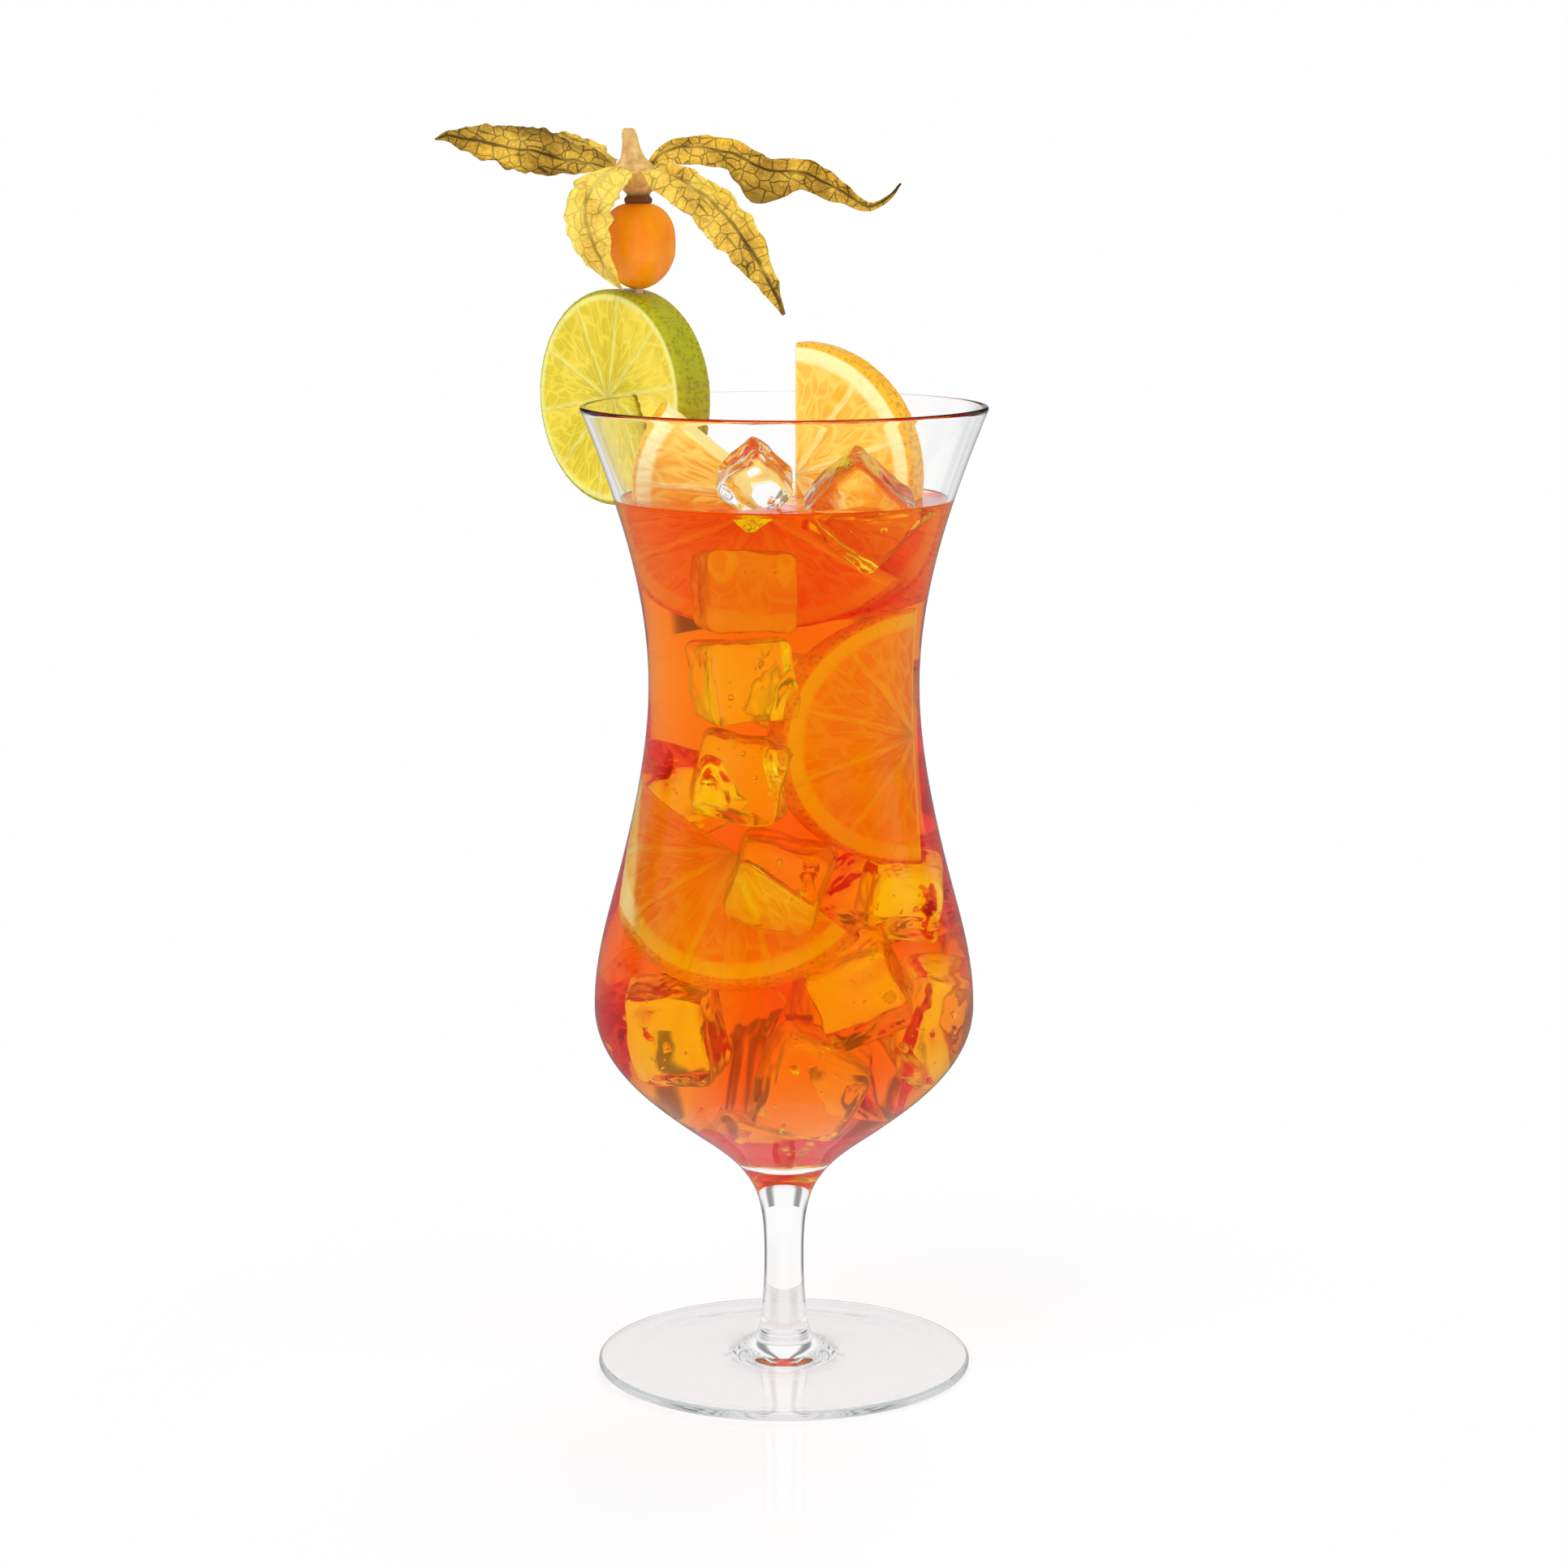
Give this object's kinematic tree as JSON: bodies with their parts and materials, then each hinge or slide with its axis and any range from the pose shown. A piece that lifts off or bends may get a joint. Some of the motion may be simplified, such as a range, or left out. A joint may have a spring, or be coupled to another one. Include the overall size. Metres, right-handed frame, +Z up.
{
  "type": "hurricane glass",
  "caption": "Footed hurricane glass with flared rim and pear-shaped bowl, served with an iced orange drink, citrus slices, a lime wheel and a physalis on the rim.",
  "frame": {"origin": "centre of the foot's underside, on the plane that it stands on", "axes": "+Z up along the glass, -Y toward the viewer of the picture, +X to the viewer's right"},
  "size_m": [0.1158, 0.1011, 0.2636],
  "materials": {
    "clear_glass": "polished",
    "orange_drink": "gloss",
    "ice": "gloss",
    "orange_flesh": "satin",
    "lime_flesh": "satin",
    "pick_wood": "matte",
    "berry_skin": "gloss",
    "dry_husk": "matte"
  },
  "bodies": {
    "glass": {"bowl": "clear_glass", "stem": "clear_glass", "foot": "clear_glass"},
    "iced_drink": {"drink": "orange_drink", "ice_cube_01": "ice", "ice_cube_02": "ice", "ice_cube_03": "ice", "ice_cube_04": "ice", "ice_cube_05": "ice", "ice_cube_06": "ice", "ice_cube_07": "ice", "ice_cube_08": "ice", "ice_cube_09": "ice", "ice_cube_10": "ice", "ice_cube_11": "ice", "ice_cube_12": "ice", "ice_cube_13": "ice", "ice_cube_14": "ice", "ice_cube_15": "ice", "orange_slice_middle": "orange_flesh", "orange_slice_low": "orange_flesh"},
    "left_ice": {"ice_float_left": "ice"},
    "right_ice": {"ice_float_right": "ice"},
    "left_orange": {"orange_slice_left": "orange_flesh"},
    "right_orange": {"orange_slice_right": "orange_flesh"},
    "lime": {"lime_wheel": "lime_flesh", "garnish_pick": "pick_wood"},
    "physalis": {"physalis_berry": "berry_skin", "physalis_crown": "dry_husk", "husk_leaf_left": "dry_husk", "husk_leaf_back": "dry_husk", "husk_leaf_front": "dry_husk", "husk_leaf_drooping": "dry_husk", "husk_leaf_right": "dry_husk"}
  },
  "joints": [
    {"name": "drink_swirl", "type": "hinge", "parent": "glass", "child": "iced_drink", "pos_m": [0, 0, 0], "axis": [0, 0, 1], "range_deg": [-10, 10]},
    {"name": "left_ice_bob", "type": "slide", "parent": "iced_drink", "child": "left_ice", "axis": [0, 0, 1], "range_m": [-0.0015, 0.0025], "stiffness_N_per_m": 1.96, "springref_m": 0.01113, "deforming": ["drink"]},
    {"name": "right_ice_bob", "type": "slide", "parent": "iced_drink", "child": "right_ice", "axis": [0, 0, 1], "range_m": [-0.0015, 0.0025], "stiffness_N_per_m": 4.41, "springref_m": 0.01365, "deforming": ["drink"]},
    {"name": "left_orange_bob", "type": "slide", "parent": "iced_drink", "child": "left_orange", "axis": [0, 0, 1], "range_m": [-0.0015, 0.0025], "stiffness_N_per_m": 3.14, "springref_m": 0.0295, "deforming": ["drink"]},
    {"name": "right_orange_bob", "type": "slide", "parent": "iced_drink", "child": "right_orange", "axis": [0, 0, 1], "range_m": [-0.0015, 0.0025], "stiffness_N_per_m": 1.96, "springref_m": 0.04721, "deforming": ["drink"]},
    {"name": "lime_slide", "type": "hinge", "parent": "glass", "child": "lime", "pos_m": [0, 0, 0], "axis": [0, 0, 1], "range_deg": [-45, 15]},
    {"name": "physalis_turn", "type": "hinge", "parent": "lime", "child": "physalis", "pos_m": [-0.03126, 0.03237, 0.24], "axis": [0, 0, 1], "continuous": true}
  ]
}
